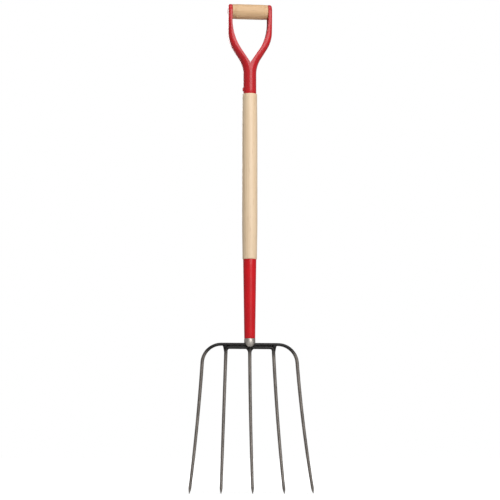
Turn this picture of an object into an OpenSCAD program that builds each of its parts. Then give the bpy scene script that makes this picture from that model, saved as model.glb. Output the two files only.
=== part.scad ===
// Five-tine garden fork with a steel D-handle and a turning wooden grip.
//
// The origin is on the shaft's axis, halfway along the bare wood. +Z runs up the
// shaft to the grip, +X runs along the grip, and the tines' hollow side faces -Y.
// Lengths are in millimetres.

/* [Shaft] */
// Length of bare wood between the ferrule and the handle socket
shaft_bare = 375; // [300:1:700]
// Diameter of the straight middle of the shaft, where a rack's clip holds it
shaft_d = 34.4; // [32.5:0.1:40]
// Length of that straight stretch
clip_seat = 200; // [120:1:260]
// Diameter at the shoulder under the handle socket
shaft_top_d = 33.2; // [31:0.1:40]
// Diameter at the shoulder above the ferrule
shaft_low_d = 32.4; // [31:0.1:40]
// Rounding of both shoulders
shoulder_round = 1.2; // [0.4:0.1:1.5]

/* [Handle yoke] */
// Outside diameter of the tube that takes the shaft
socket_d = 29.5; // [27:0.1:31]
// Steel thickness of the socket and the arms
yoke_wall = 1.5; // [1.2:0.1:2.5]
// Straight length of the socket, up to where the arms start to lean out
socket_len = 45.5; // [35:0.5:70]
// How far the shaft goes up into the socket
socket_depth = 43; // [25:0.5:43.5]
// Height of the crotch above the place where the arms start to lean
crotch_rise = 23.5; // [14:0.5:30]
// Height of the grip's axis above the socket's lower edge
grip_rise = 189.5; // [182:0.5:240]
// Width over the outside of both arms
yoke_w = 99.2; // [90:0.2:115]
// Depth of an arm's flanges beside the grip
flange = 8.8; // [8:0.1:12]
// Width of an arm, seen from its side
arm_w = 33.5; // [29:0.5:36]
// Steepest lean of the arms' outer face, in degrees
outer_lean = 32; // [28:1:38]
// Radii of the outer face's lower and upper bends
outer_bends = [67, 71]; // [30:1:80]
// Steepest lean of the flanges' edges, in degrees
inner_lean = 34; // [30:1:40]
// Radii of the flange edges' lower and upper bends
inner_bends = [6, 120]; // [4:1:130]

/* [Socket rivet] */
// Diameter of the rivet's shank
rivet_d = 5; // [4:0.1:6]
// Diameter of its round head
rivet_head_d = 9; // [8:0.1:11]
// How far the head stands proud of the socket
rivet_head_h = 2; // [1.2:0.1:3]
// Height of the rivet above the socket's lower edge
rivet_rise = 10.5; // [8:0.5:25]

/* [Grip] */
// Diameter of the wooden grip
grip_d = 34; // [30:0.1:36]
// Length of the collar turned at each end of the grip
grip_collar = 9; // [6:0.5:14]
// Depth of the groove beside each collar
grip_groove = 0.6; // [0.3:0.1:1]
// Gap between the grip and the flanges' edges at each end
grip_end_gap = 0.5; // [0.4:0.1:1]
// Diameter of the steel rod that the grip turns on
rod_d = 6.4; // [5:0.1:8]
// Diameter of the rod's riveted heads
rod_head_d = 11; // [9.5:0.1:12.5]
// Depth of the dimple that a head sits in
dimple = 1.2; // [0.8:0.1:1.4]

/* [Ferrule] */
// Length of the ferrule
ferrule_len = 177; // [140:0.5:220]
// Outside diameter at its top
ferrule_top_d = 29.6; // [28:0.1:31]
// Outside diameter at its bottom
ferrule_low_d = 24.4; // [23.5:0.1:27]
// Steel thickness of the ferrule
ferrule_wall = 1.2; // [1:0.1:2]
// Diameter of the pin through ferrule, wood and tang
pin_d = 4; // [3:0.1:5]
// Height of that pin above the ferrule's lower edge
pin_rise = 70; // [40:1:100]

/* [Cap] */
// Diameter of the steel cap under the ferrule
cap_d = 25; // [24:0.1:27]
// Length of the cap's straight part, between the ferrule and its ball end
cap_straight = 7.7; // [5:0.1:9]
// Length of the cap's spigot inside the ferrule
cap_spigot = 12; // [8:0.5:20]
// Distance from the ferrule's lower edge to the top of the crossbar
cap_over_bar = 9.4; // [9:0.1:14]

/* [Tines] */
// Height from the top of the crossbar to the tines' tips
tine_len = 331; // [280:1:400]
// How far the inner and centre tines' tips stand forward of the shaft's axis
dish = 58; // [30:1:80]
// How far the outer tines' tips stand forward of it
outer_dish = 34; // [30:1:80]
// Forward lean of the tines just under the crossbar, in degrees
dish_lean = 2.5; // [0:0.1:5]
// Height of each of the crossbar's two rods
rod_h = 6.9; // [5.5:0.1:8]
// Depth of the crossbar, front to back
bar_depth = 10; // [8:0.1:11]
// Width and depth of a tine at its root
tine_root = [7.8, 9.4]; // [7:0.1:10.5]
// Width and depth of a tine where its point begins
tine_end = [6.5, 7.8]; // [5.5:0.1:8.5]
// Length of a tine's point
point_len = 14; // [8:0.5:25]
// Distance between the outer tines at the shoulders
outer_span = 212; // [190:0.2:240]
// Distance between the outer tines' tips
outer_tips = 272.6; // [240:0.2:300]
// Centreline radius of the outer shoulders
outer_bend = 42.8; // [30:0.1:50]
// Outward lean of the outer tines under the shoulder, in degrees
outer_start = 4; // [0:0.1:6]
// Distance between the inner tines at the crossbar
inner_span = 106.4; // [90:0.2:130]
// Distance between the inner tines' tips
inner_tips = 138.6; // [120:0.2:160]
// Centreline radius of the inner corners
inner_bend = 8; // [7:0.1:12]
// Outward lean of the inner tines at the crossbar, in degrees
inner_start = 2.2; // [0:0.1:4]
// Width of the centre tine's shoulder under the crossbar
shoulder_w = 16; // [13:0.2:20]
// Height of that shoulder
shoulder_h = 8; // [5:0.2:12]

/* [Tang] */
// Diameter of the tang, the round stem that runs up from the centre tine
tang_d = 8; // [7:0.1:9]
// Height of the tang's end above the ferrule's lower edge
tang_rise = 118; // [112:1:150]
// Diameter of the crossbar's swelling around the tang
eye_d = 13; // [12:0.1:14]

/* [Fits] */
// Radial gap between the grip's bore and its rod, so that the grip turns
grip_running = 0.06; // [0.02:0.01:0.1]
// Radial gap between pieces that are driven together and never move
snug = 0.05; // [0.02:0.01:0.1]
// Gap between faces that are laid against each other
laid = 0.1; // [0.05:0.01:0.3]
// Gap around the grip's ends inside the flanges
grip_swing = 1; // [0.5:0.1:1.5]

/* [Hidden] */
$fn = 64;
through = 1;        // how far a cutting shape runs past what it cuts

// Heights, from the origin halfway along the bare wood
socket_z = shaft_bare/2;
lean_z = socket_z + socket_len;
crotch_z = lean_z + crotch_rise;
grip_z = socket_z + grip_rise;
rivet_z = socket_z + rivet_rise;
ferrule_top_z = -shaft_bare/2;
ferrule_low_z = ferrule_top_z - ferrule_len;
pin_z = ferrule_low_z + pin_rise;
tang_top_z = ferrule_low_z + tang_rise;
bar_top_z = ferrule_low_z - cap_over_bar;
outer_rod_z = bar_top_z - rod_h/2;
inner_rod_z = outer_rod_z - rod_h - laid;
bar_low_z = inner_rod_z - rod_h/2;
tip_z = bar_top_z - tine_len;

// Radii
socket_r = socket_d/2;
socket_bore = socket_r - yoke_wall;
tang_r = tang_d/2;
rod_r = rod_d/2;
cap_r = cap_d/2;
tang_hole = tang_r + snug;

// How square an arm's channel is beside the grip, where 2 is an ellipse
CHANNEL_SQUARE = 5;
// Exponent of a tine's oval, where 1 is an ellipse and less is flatter-sided
OVAL_SQUARE = 0.8;
// Share of its thickness that a tine loses along its point, and how late it goes
POINT_LOSS = 0.86;
POINT_EASE = 1.6;

// Steps in the smooth curves
BEND = 10;
LEG = 14;
POINT = 5;
OVAL = 14;
CHANNEL = 12;
ARM = 26;

function ease(u) = u*u*(3 - 2*u);
function mix(a, b, u) = a + (b - a)*u;
function unit(v) = v/norm(v);
function spow(v, e) = sign(v)*pow(abs(v), e);

// Outer radius of the ferrule at height z
function ferrule_r(z) =
    mix(ferrule_low_d, ferrule_top_d, (z - ferrule_low_z)/ferrule_len)/2;

// How far forward a tine's centreline is at height z under the crossbar, where its
// tip stands forward by `depth`
function dish_y(z, depth) =
    let (full = bar_low_z - tip_z, u = max(0, bar_low_z - z)/full,
         lean = tan(dish_lean)*full)
    -(lean*u + (depth - lean)*u*u);

function reversed(list) = [for (i = [len(list) - 1:-1:0]) list[i]];

// A closed solid through a row of rings that all have the same number of points.
// `lid` lists the faces that close a ring: one polygon, unless the ring bends back
module skin(rings, lid = undef) {
    n = len(rings[0]);
    last = len(rings) - 1;
    ends = lid == undef ? [[for (j = [0:n - 1]) j]] : lid;
    walls = [for (i = [0:last - 1], j = [0:n - 1])
        let (k = (j + 1)%n, a = i*n + j, b = i*n + k)
        each [[a, b + n, b], [a, a + n, b + n]]];
    polyhedron(
        points = [for (r = rings) each r],
        faces = [each ends, each walls,
            each [for (f = ends) [for (j = reversed(f)) last*n + j]]],
        convexity = 8);
}

// A round rod along X, centred on the shaft's axis at height z
module cross_rod(z, r, length) {
    translate([-length/2, 0, z]) rotate([0, 90, 0]) cylinder(r = r, h = length);
}

// ---- Shaft ------------------------------------------------------------------

// Radius of the bare wood, easing from the straight seat to a shoulder
function bare_r(z) =
    let (end = z > 0 ? shaft_top_d/2 : shaft_low_d/2,
         u = max(0, (abs(z) - clip_seat/2)/(shaft_bare/2 - clip_seat/2)))
    mix(shaft_d/2, end, ease(u));

module handle_shaft() {
    steps = 6;
    low_end = ferrule_low_z + cap_spigot + laid;
    top_end = socket_z + socket_depth;
    low_edge = ferrule_top_z + laid;
    top_edge = socket_z - laid;
    slope = (shaft_bare - clip_seat)/2/steps;
    low_side = [for (i = [1:steps]) let (z = ferrule_top_z + i*slope) [bare_r(z), z]];
    top_side = [for (i = [steps:-1:1]) let (z = socket_z - i*slope) [bare_r(z), z]];
    color("burlywood")
    difference() {
        rotate_extrude() polygon([
            [0, low_end],
            [ferrule_r(low_end) - ferrule_wall - snug, low_end],
            [ferrule_r(low_edge) - ferrule_wall - snug, low_edge],
            [shaft_low_d/2 - shoulder_round, low_edge],
            [shaft_low_d/2, low_edge + shoulder_round],
            each low_side,
            each top_side,
            [shaft_top_d/2, top_edge - shoulder_round],
            [shaft_top_d/2 - shoulder_round, top_edge],
            [socket_bore - snug, top_edge],
            [socket_bore - snug, top_end - shoulder_round],
            [socket_bore - snug - shoulder_round, top_end],
            [0, top_end]]);
        translate([0, 0, low_end - through])
            cylinder(r = tang_hole, h = tang_top_z + laid - low_end + through);
        cross_rod(pin_z, pin_d/2 + snug, 2*shaft_d);
        cross_rod(rivet_z, rivet_d/2 + snug, 2*shaft_d);
    }
}

// ---- Handle yoke ------------------------------------------------------------

// Sideways offset at height h of a curve that leans out by `reach` in all: an arc
// of radius bends[0], a straight at `lean` degrees, then an arc of radius bends[1]
function s_bend(h, reach, lean, bends) =
    let (low_h = bends[0]*sin(lean), low_x = bends[0]*(1 - cos(lean)),
         high_h = bends[1]*sin(lean), high_x = bends[1]*(1 - cos(lean)),
         full = low_h + high_h + (reach - low_x - high_x)/tan(lean))
    h <= 0 ? 0
    : h < low_h ? bends[0] - sqrt(pow(bends[0], 2) - h*h)
    : h < full - high_h ? low_x + (h - low_h)*tan(lean)
    : h < full ? reach - bends[1] + sqrt(pow(bends[1], 2) - pow(full - h, 2))
    : reach;

arm_in = yoke_w/2 - flange;         // flange edge beside the grip
web_in = yoke_w/2 - yoke_wall;      // inside of an arm's web beside the grip
seam = 0.16;                        // how far the arms' flat-sided sections overlap
arm_root_r = socket_r + seam;       // the tube's round wall, inside and outside

function arm_outside(z) =
    arm_root_r + s_bend(z - lean_z, yoke_w/2 - arm_root_r, outer_lean, outer_bends);
function arm_edge(z) = s_bend(z - crotch_z, arm_in, inner_lean, inner_bends);

// One side of a channel's section: points [depth from the flange edge, half width]
function channel_side(depth, half, squareness) =
    [for (i = [0:CHANNEL]) let (a = -90 + 180*i/CHANNEL)
        [depth*pow(cos(a), 2/squareness), half*spow(sin(a), 2/squareness)]];

// The closed section of an arm at height z: half a tube at the socket, and a
// flatter channel with square corners beside the grip
function arm_section(z) =
    let (u = ease((z - lean_z)/(grip_z - lean_z)), squareness = mix(2, CHANNEL_SQUARE, u),
         half = mix(arm_root_r, arm_w/2, u), depth = arm_outside(z) - arm_edge(z),
         wall = mix(yoke_wall + 2*seam, yoke_wall, u), shift = [arm_edge(z), 0])
    [for (p = concat(
        channel_side(depth, half, squareness),
        reversed(channel_side(depth - wall, half - wall, squareness))))
        p + shift];

module yoke_arm() {
    far = 2*CHANNEL + 1;
    skin([for (i = [0:ARM]) let (z = mix(lean_z, grip_z, i/ARM))
            [for (p = arm_section(z)) [p.x, p.y, z]]],
        lid = [for (i = [0:CHANNEL - 1]) [i, i + 1, far - i - 1, far - i]]);
    end_section = [for (p = arm_section(grip_z)) if (p.y >= 0) [p.y, p.x]];
    translate([0, 0, grip_z]) rotate([0, 90, 0]) rotate([0, 0, 90])
        rotate_extrude(angle = 180) polygon(end_section);
    // the back of the dimple
    translate([web_in - dimple, 0, grip_z]) rotate([0, 90, 0])
        cylinder(r1 = rod_head_d/2, r2 = rod_head_d/2 + dimple, h = dimple + yoke_wall/2);
}

module grip_yoke() {
    color("firebrick")
    difference() {
        union() {
            translate([0, 0, socket_z]) difference() {
                cylinder(r = socket_r, h = socket_len);
                translate([0, 0, -through])
                    cylinder(r = socket_bore, h = socket_len + 2*through);
            }
            yoke_arm();
            mirror([1, 0, 0]) yoke_arm();
        }
        cross_rod(rivet_z, rivet_d/2 + snug, 2*socket_d);
        cross_rod(grip_z, rod_r + snug, 2*yoke_w);
        for (side = [0, 1]) mirror([side, 0, 0])
            translate([yoke_w/2 - dimple, 0, grip_z]) rotate([0, 90, 0])
                cylinder(r1 = rod_head_d/2 + snug, r2 = rod_head_d/2 + dimple + through,
                    h = dimple + through);
    }
}

module socket_rivet() {
    ball = (pow(rivet_head_d/2, 2) + rivet_head_h*rivet_head_h)/2/rivet_head_h;
    color("firebrick")
    union() {
        translate([-socket_r, 0, rivet_z]) rotate([0, 90, 0])
            cylinder(d = rivet_d, h = 2*socket_r - laid);
        difference() {
            translate([-socket_r, 0, rivet_z]) rotate([0, -90, 0])
                translate([0, 0, rivet_head_h - ball]) intersection() {
                    sphere(r = ball);
                    translate([0, 0, ball - rivet_head_h - through])
                        cylinder(d = rivet_head_d, h = rivet_head_h + 2*through);
                }
            translate([0, 0, rivet_z - rivet_head_d])
                cylinder(r = socket_r + snug, h = 2*rivet_head_d);
        }
    }
}

// ---- Grip -------------------------------------------------------------------

module grip() {
    body_x = arm_in - grip_end_gap;
    groove_x = body_x - grip_collar;
    collar_r = grip_d/2 - grip_groove/2;
    tenon_r = arm_w/2 - yoke_wall - grip_swing;
    tenon_x = web_in - dimple - grip_swing;
    tenon_cut = 3;
    half = [
        [grip_d/2, groove_x - grip_groove],
        [grip_d/2 - grip_groove, groove_x],
        [collar_r, groove_x + grip_groove],
        [collar_r, body_x - shoulder_round],
        [collar_r - shoulder_round, body_x],
        [tenon_r, body_x],
        [tenon_r, tenon_x - tenon_cut],
        [tenon_r - tenon_cut, tenon_x]];
    bore = rod_r + grip_running;
    color("tan")
    translate([0, 0, grip_z]) rotate([0, 90, 0]) rotate_extrude()
        polygon([
            [bore, -tenon_x],
            each [for (p = reversed(half)) [p.x, -p.y]],
            each half,
            [bore, tenon_x]]);
}

module grip_rod() {
    seat = yoke_w/2 - dimple + laid/2;
    head_h = dimple - laid;
    color("dimgray")
    union() {
        cross_rod(grip_z, rod_r, 2*seat + head_h);
        for (side = [0, 1]) mirror([side, 0, 0])
            translate([seat, 0, grip_z]) rotate([0, 90, 0])
                cylinder(r1 = rod_head_d/2 - snug, r2 = rod_head_d/2 - dimple/2, h = head_h);
    }
}

// ---- Ferrule and cap --------------------------------------------------------

module ferrule() {
    color("crimson")
    difference() {
        rotate_extrude() polygon([
            [ferrule_low_d/2 - ferrule_wall, ferrule_low_z],
            [ferrule_low_d/2, ferrule_low_z],
            [ferrule_top_d/2, ferrule_top_z],
            [ferrule_top_d/2 - ferrule_wall, ferrule_top_z]]);
        cross_rod(pin_z, pin_d/2 + snug, 2*ferrule_top_d);
    }
}

module ferrule_pin() {
    color("crimson")
    cross_rod(pin_z, pin_d/2, 2*ferrule_r(pin_z - pin_d/2) - laid);
}

module ferrule_cap() {
    top_z = ferrule_low_z - laid;
    ball_z = top_z - cap_straight;
    below_z = ball_z - cap_r - through;
    slot_h = bar_top_z + laid - below_z;
    slot_w = bar_depth + 2*laid;
    spigot_z = ferrule_low_z + cap_spigot;
    color("silver")
    difference() {
        union() {
            intersection() {
                translate([0, 0, ball_z]) sphere(r = cap_r);
                translate([0, 0, below_z]) cylinder(r = cap_d, h = ball_z - below_z);
            }
            translate([0, 0, ball_z]) cylinder(r = cap_r, h = cap_straight);
            rotate_extrude() polygon([
                [0, ball_z],
                [ferrule_low_d/2 - ferrule_wall - snug, ball_z],
                [ferrule_low_d/2 - ferrule_wall - snug, ferrule_low_z],
                [ferrule_r(spigot_z) - ferrule_wall - snug, spigot_z],
                [0, spigot_z]]);
        }
        translate([0, 0, below_z]) cylinder(r = tang_hole, h = spigot_z - below_z + through);
        translate([0, 0, below_z]) cylinder(d = eye_d + 2*laid, h = slot_h);
        translate([-cap_d, -slot_w/2, below_z]) cube([2*cap_d, slot_w, slot_h]);
    }
}

// ---- Tines ------------------------------------------------------------------

// An oval ring around point p, square to direction t: w is the half width in the
// plane of the fork, d the half depth
function oval(p, t, w, d) =
    let (side = unit([t.z, 0, -t.x]), front = unit(cross(t, side)))
    [for (k = [0:OVAL - 1]) let (a = 360*k/OVAL)
        p + side*w*spow(cos(a), OVAL_SQUARE) + front*d*spow(sin(a), OVAL_SQUARE)];

// Rings along a row of stations [x, z, half width, half depth]
function oval_rings(row, depth) =
    let (p = [for (s = row) [s.x, dish_y(s.y, depth), s.y]], last = len(row) - 1)
    [for (i = [0:last])
        oval(p[i], unit(p[min(i + 1, last)] - p[max(i - 1, 0)]), row[i][2], row[i][3])];

// Half width and half depth of a tine at share u of its leg
function tine_w(u) = mix(tine_root[0], tine_end[0], u)/2;
function tine_d(u) = mix(tine_root[1], tine_end[1], u)/2;

// Stations down a tine that starts at x0, z0 with lean `start` and ends at tip_x
function leg(x0, z0, start, tip_x) =
    let (drop = z0 - tip_z, a = tan(start)*drop, body = (drop - point_len)/drop)
    concat(
        [for (i = [1:LEG]) let (u = body*i/LEG, s = i/LEG)
            [x0 + a*u + (tip_x - x0 - a)*u*u, z0 - drop*u, tine_w(s), tine_d(s)]],
        [for (i = [1:POINT])
            let (v = i/POINT, u = mix(body, 1, v), k = 1 - POINT_LOSS*pow(v, POINT_EASE))
            [x0 + a*u + (tip_x - x0 - a)*u*u, z0 - drop*u, tine_w(1)*k, tine_d(1)*k]]);

// Stations of the crossbar, from its middle out to x_end, swollen around the tang
function bar(z, x_end) =
    let (swell = sqrt(pow(eye_d/2, 2) - pow(bar_depth/2, 2)))
    concat(
        [for (i = [0:3]) let (x = swell*i/3) [x, z, rod_h/2, sqrt(pow(eye_d/2, 2) - x*x)]],
        [for (i = [1:4]) [mix(swell, x_end, i/4), z, rod_h/2, bar_depth/2]]);

// Stations round a bend from the crossbar down into a tine's lean, swollen halfway
// round by `extra`
function bend(z, x_start, r, turn, extra) =
    [for (i = [1:BEND])
        let (u = i/BEND, a = turn*u, swell = extra*pow(sin(180*u), 2))
        [x_start + r*sin(a), z - r*(1 - cos(a)),
         mix(rod_h/2, tine_w(0), u) + swell, mix(bar_depth/2, tine_d(0), u)]];

// Both halves of a bow: the mirrored stations run up one side and down the other
function both(half) =
    concat([for (i = [len(half) - 1:-1:1]) [-half[i][0], half[i][1], half[i][2], half[i][3]]],
        half);

module tine_bow(z, span, r, start, tips, depth, extra) {
    turn = 90 - start;
    x_bend = span/2 - r;
    half = concat(
        bar(z, x_bend),
        bend(z, x_bend, r, turn, extra),
        leg(x_bend + r*sin(turn), z - r*(1 - cos(turn)), start, tips/2));
    difference() {
        skin(oval_rings(both(half), depth));
        translate([0, 0, z - rod_h]) cylinder(r = tang_hole, h = 2*rod_h);
    }
}

module outer_tine_bow() {
    color("dimgray")
    tine_bow(outer_rod_z, outer_span, outer_bend, outer_start, outer_tips, outer_dish, 0);
}

module inner_tine_bow() {
    corner_swell = 0.9;
    color("dimgray")
    tine_bow(inner_rod_z, inner_span, inner_bend, inner_start, inner_tips, dish,
        corner_swell);
}

module centre_tine() {
    top_z = bar_low_z - laid;
    seat = 2;
    stem = concat(
        [for (i = [0:5]) let (u = i/5, s = pow(1 - u, 2))
            [0, top_z - shoulder_h*u, mix(tine_w(0), shoulder_w/2, s),
             mix(tine_d(0), bar_depth/2, s)]],
        leg(0, top_z - shoulder_h, 0, 0));
    color("dimgray")
    difference() {
        union() {
            skin(oval_rings(stem, dish));
            rotate_extrude() polygon([
                [0, top_z - seat], [tang_r, top_z - seat], [tang_r, tang_top_z - tang_r],
                [tang_r/2, tang_top_z - laid], [0, tang_top_z - laid]]);
        }
        cross_rod(pin_z, pin_d/2 + snug, 2*tang_d);
    }
}

handle_shaft();
grip_yoke();
socket_rivet();
grip();
grip_rod();
ferrule();
ferrule_pin();
ferrule_cap();
outer_tine_bow();
inner_tine_bow();
centre_tine();
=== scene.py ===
# %% [markdown]
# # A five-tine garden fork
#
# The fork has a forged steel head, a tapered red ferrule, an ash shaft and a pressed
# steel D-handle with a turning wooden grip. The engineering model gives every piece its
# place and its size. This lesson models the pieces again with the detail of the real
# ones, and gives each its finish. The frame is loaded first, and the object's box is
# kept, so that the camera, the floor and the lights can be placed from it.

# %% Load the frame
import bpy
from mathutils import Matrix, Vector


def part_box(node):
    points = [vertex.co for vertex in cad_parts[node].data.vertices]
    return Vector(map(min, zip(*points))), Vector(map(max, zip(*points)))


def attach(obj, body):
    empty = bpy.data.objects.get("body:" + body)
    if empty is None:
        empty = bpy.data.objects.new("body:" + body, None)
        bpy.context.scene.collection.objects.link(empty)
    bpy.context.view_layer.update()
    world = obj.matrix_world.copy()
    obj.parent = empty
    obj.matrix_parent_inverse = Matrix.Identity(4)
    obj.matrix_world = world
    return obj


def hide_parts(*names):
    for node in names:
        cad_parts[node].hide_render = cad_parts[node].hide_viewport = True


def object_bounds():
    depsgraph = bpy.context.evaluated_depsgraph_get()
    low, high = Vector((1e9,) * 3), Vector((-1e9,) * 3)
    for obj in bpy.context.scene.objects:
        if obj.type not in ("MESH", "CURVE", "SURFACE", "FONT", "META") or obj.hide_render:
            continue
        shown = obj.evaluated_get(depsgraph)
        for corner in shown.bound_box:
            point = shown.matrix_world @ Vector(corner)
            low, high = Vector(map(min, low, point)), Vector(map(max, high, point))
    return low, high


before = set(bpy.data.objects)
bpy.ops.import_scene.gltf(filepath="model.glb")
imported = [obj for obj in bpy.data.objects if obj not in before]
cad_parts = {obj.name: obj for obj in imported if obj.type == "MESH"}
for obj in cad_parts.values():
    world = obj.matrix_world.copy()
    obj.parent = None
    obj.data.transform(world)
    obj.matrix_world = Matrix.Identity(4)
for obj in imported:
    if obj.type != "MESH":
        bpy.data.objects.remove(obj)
cad_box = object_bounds()
print("frame box, metres:", [[round(v, 4) for v in corner] for corner in cad_box])

# %% [markdown]
# ## Units and places
#
# Blender works in metres and a maker thinks in millimetres, so a size is written as a
# number of MM. Places come from the frame's boxes: where the bare wood starts and ends,
# where the grip turns, and where the crossbar and the tips are.

# %% Places taken from the frame
import math

import bmesh
import bpy
from mathutils import Matrix, Vector

MM = 0.001
SIDES = 64  # points round a turned piece
FINE = 32  # and round a pin, a rod or a hole
ON_PLANE = 1e-7  # a point this near a plane lies on it

yoke_low, yoke_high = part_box("grip_yoke")
shaft_low, shaft_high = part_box("handle_shaft")
ferrule_low, ferrule_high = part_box("ferrule")
cap_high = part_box("ferrule_cap")[1]
grip_low, grip_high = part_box("grip")
outer_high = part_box("outer_tine_bow")[1]
inner_low, inner_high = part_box("inner_tine_bow")
centre_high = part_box("centre_tine")[1]
grip_z = (grip_low.z + grip_high.z) / 2
print("bare wood from", round(ferrule_high.z, 4), "to", round(yoke_low.z, 4),
      "and the grip turns at", round(grip_z, 4))

# %% [markdown]
# ## The camera
#
# A tool this long is looked at from well back with a long lens, so that the shaft's
# edges stay parallel. The camera stands low and a little to one side.

# %% Camera
view_turn = math.radians(-6.5)
view_rise = math.radians(-6.5)
view_distance = 4.0
lens_length = 128.9
aim_right, aim_drop = 0.6 * MM, 10.8 * MM  # from the middle of the object's box
aim = Vector((aim_right, 0, (cad_box[0].z + cad_box[1].z) / 2 - aim_drop))


def looking_back(turn, rise):
    """The direction from the object to a camera or light at this turn and rise."""
    return Vector((math.sin(turn) * math.cos(rise), -math.cos(turn) * math.cos(rise),
                   math.sin(rise)))


camera = bpy.data.objects.new("camera", bpy.data.cameras.new("camera"))
bpy.context.scene.collection.objects.link(camera)
camera.data.lens = lens_length
camera.location = aim + looking_back(view_turn, view_rise) * view_distance
camera.rotation_euler = looking_back(view_turn, view_rise).to_track_quat("Z", "Y").to_euler()
bpy.context.scene.camera = camera
print("camera at", [round(v, 3) for v in camera.location])

# %% [markdown]
# ## Node trees in a few words
#
# Every finish and the surround is a node tree. One helper turns a paint code into the
# linear colour that light is worked out in, and the other adds any node with its
# settings and its links, so that a tree reads as a list of what feeds what.


# %% Helpers for node trees
def linear(code):
    """The linear colour, with alpha, of an sRGB hex code."""
    parts = [int(code[i:i + 2], 16) / 255 for i in (0, 2, 4)]
    return [p / 12.92 if p <= 0.04045 else ((p + 0.055) / 1.055) ** 2.4 for p in parts] + [1]


def add(tree, kind, inputs=None, **settings):
    """Add a node, set its options, and set or link each named or numbered input."""
    node = tree.nodes.new(kind)
    for name, value in settings.items():
        setattr(node, name, value)
    for name, value in (inputs or {}).items():
        if isinstance(value, bpy.types.NodeSocket):
            tree.links.new(value, node.inputs[name])
        else:
            node.inputs[name].default_value = value
    return node


# %% [markdown]
# ## The surround
#
# A studio's white surround is bright to look at but lights the object weakly. A light
# path node tells the two apart: the camera sees white, and every other ray gets less, so
# that a round piece goes darker towards its edges.

# %% Surround
WHITE = linear("FFFFFF")

surround = bpy.data.worlds.new("surround")
surround.use_nodes = True
tree = surround.node_tree
seen = add(tree, "ShaderNodeLightPath").outputs["Is Camera Ray"]
strength = add(tree, "ShaderNodeMapRange", {"Value": seen, "To Min": 0.30, "To Max": 1.0})
tree.nodes["Background"].inputs["Color"].default_value = WHITE
tree.links.new(strength.outputs["Result"], tree.nodes["Background"].inputs["Strength"])
bpy.context.scene.world = surround
print("surround:", surround.name)

# %% [markdown]
# ## The floor
#
# The fork stands on its tips over a matt pale floor. A floor could be bent up into a
# backdrop, but a flat one that glows a little more with distance meets the surround
# without a line, and works from every side.

# %% Floor
FLOOR_SIZE = 60  # metres, out past the view's edges
floor_z = cad_box[0].z - 0.5 * MM
bpy.ops.object.select_all(action="DESELECT")
bpy.ops.mesh.primitive_plane_add(size=FLOOR_SIZE, location=(0, 0, floor_z))
floor = bpy.context.object
floor.name = "floor"
painted = bpy.data.materials.new("matt_white_floor")
painted.use_nodes = True
tree = painted.node_tree
place = add(tree, "ShaderNodeTexCoord").outputs["Object"]
reach = add(tree, "ShaderNodeVectorMath", {0: place}, operation="LENGTH").outputs["Value"]
fade = add(tree, "ShaderNodeMapRange",
           {"Value": reach, "From Min": 0.3, "From Max": 1.6, "To Min": 0.5})
seen = add(tree, "ShaderNodeLightPath").outputs["Is Camera Ray"]
glow = add(tree, "ShaderNodeMath", {0: fade.outputs["Result"], 1: seen}, operation="MULTIPLY")
tree.links.new(glow.outputs["Value"], tree.nodes["Principled BSDF"].inputs["Emission Strength"])
tree.nodes["Principled BSDF"].inputs["Emission Color"].default_value = WHITE
tree.nodes["Principled BSDF"].inputs["Base Color"].default_value = linear("D6D6D6")
tree.nodes["Principled BSDF"].inputs["Roughness"].default_value = 0.9
tree.nodes["Principled BSDF"].inputs["Specular IOR Level"].default_value = 0.0
floor.data.materials.append(painted)
print("floor at", round(floor_z, 4))

# %% [markdown]
# ## Soft light
#
# The key light is a broad soft box a little to the right of the camera: its width is
# what spreads the bright band on the red tubes. A second box overhead lights the top of
# the grip and leaves its underside dark, and a third behind parts the edges from the
# background.

# %% Soft boxes
def soft_box(name, turn, rise, distance, width, height, power):
    """A rectangular soft light that faces the fork's middle."""
    lamp = bpy.data.lights.new(name, "AREA")
    lamp.shape = "RECTANGLE"
    lamp.size, lamp.size_y, lamp.energy = width, height, power
    lit = bpy.data.objects.new(name, lamp)
    bpy.context.scene.collection.objects.link(lit)
    back = looking_back(math.radians(turn), math.radians(rise))
    lit.location = aim + back * distance
    lit.rotation_euler = back.to_track_quat("Z", "Y").to_euler()
    print(name, "at", [round(v, 2) for v in lit.location])


soft_box("key_light", turn=16, rise=22, distance=3.2, width=2.2, height=1.8, power=64)
soft_box("top_light", turn=5, rise=72, distance=2.6, width=1.4, height=1.4, power=18)
soft_box("back_light", turn=200, rise=25, distance=3.0, width=1.6, height=1.6, power=24)
bpy.context.scene.view_settings.view_transform = "Standard"

# %% [markdown]
# ## Working by hand
#
# Most pieces begin as one ring or one box. These few helpers do what a hand does at the
# screen: open a piece, pick points by their place, apply a modifier, cut one shape with
# another, and close the work with its place kept in its mesh.


# %% Helpers for modelling
def only(piece):
    """Select one piece alone and make it the active one."""
    bpy.ops.object.select_all(action="DESELECT")
    piece.select_set(True)
    bpy.context.view_layer.objects.active = piece


def settle():
    """Put the selected piece's place, turn and size into its mesh."""
    bpy.ops.object.transform_apply(location=True, rotation=True, scale=True)


def begin(name, primitive, stretch=(1, 1, 1), **settings):
    """Add one primitive alone, stretch it along its own axes, and open it for editing."""
    bpy.ops.object.select_all(action="DESELECT")
    primitive(**settings)
    piece = bpy.context.object
    piece.name = piece.data.name = name
    piece.scale = stretch
    settle()
    bpy.ops.object.mode_set(mode="EDIT")
    bpy.ops.mesh.select_mode(type="VERT")
    bpy.ops.mesh.select_all(action="SELECT")
    return piece


def pick(piece, wanted):
    """In edit mode, select the points wanted by place and what they span, and count them."""
    mesh = bmesh.from_edit_mesh(piece.data)
    for face in mesh.faces:
        face.select = False
    for edge in mesh.edges:
        edge.select = False
    count = 0
    for vert in mesh.verts:
        vert.select = wanted(vert.co)
        count += vert.select
    mesh.select_flush(True)
    bmesh.update_edit_mesh(piece.data)
    return count


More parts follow.
